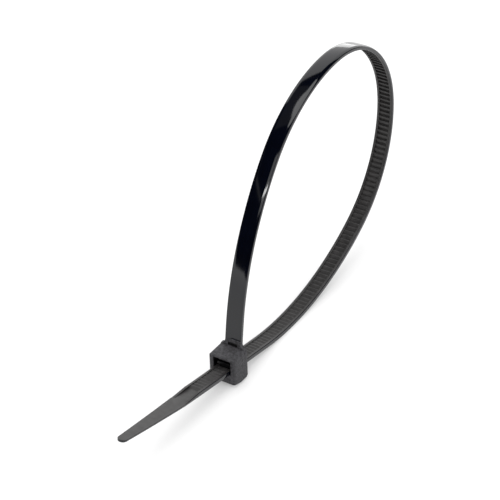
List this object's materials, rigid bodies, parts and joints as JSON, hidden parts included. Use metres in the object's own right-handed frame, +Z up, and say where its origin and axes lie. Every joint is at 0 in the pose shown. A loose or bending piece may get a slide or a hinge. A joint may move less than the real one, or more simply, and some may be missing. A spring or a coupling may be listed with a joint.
{
  "type": "cable tie",
  "caption": "Black nylon cable tie closed into a loop: toothed strap held by a ratchet pawl in its head, tapered tail.",
  "frame": {"origin": "middle of the head's flat bottom face, on the surface that the head and the loop stand on", "axes": "+X along the slot from the tail towards the loop, +Y across the strap's width, +Z up; -Z is the outward normal of the head's bottom face"},
  "size_m": [0.1291, 0.0082, 0.07],
  "materials": {
    "black_nylon": "polished outer face, satin toothed face, fine matt head"
  },
  "bodies": {
    "root": {"cable_tie": "black_nylon"}
  },
  "joints": []
}
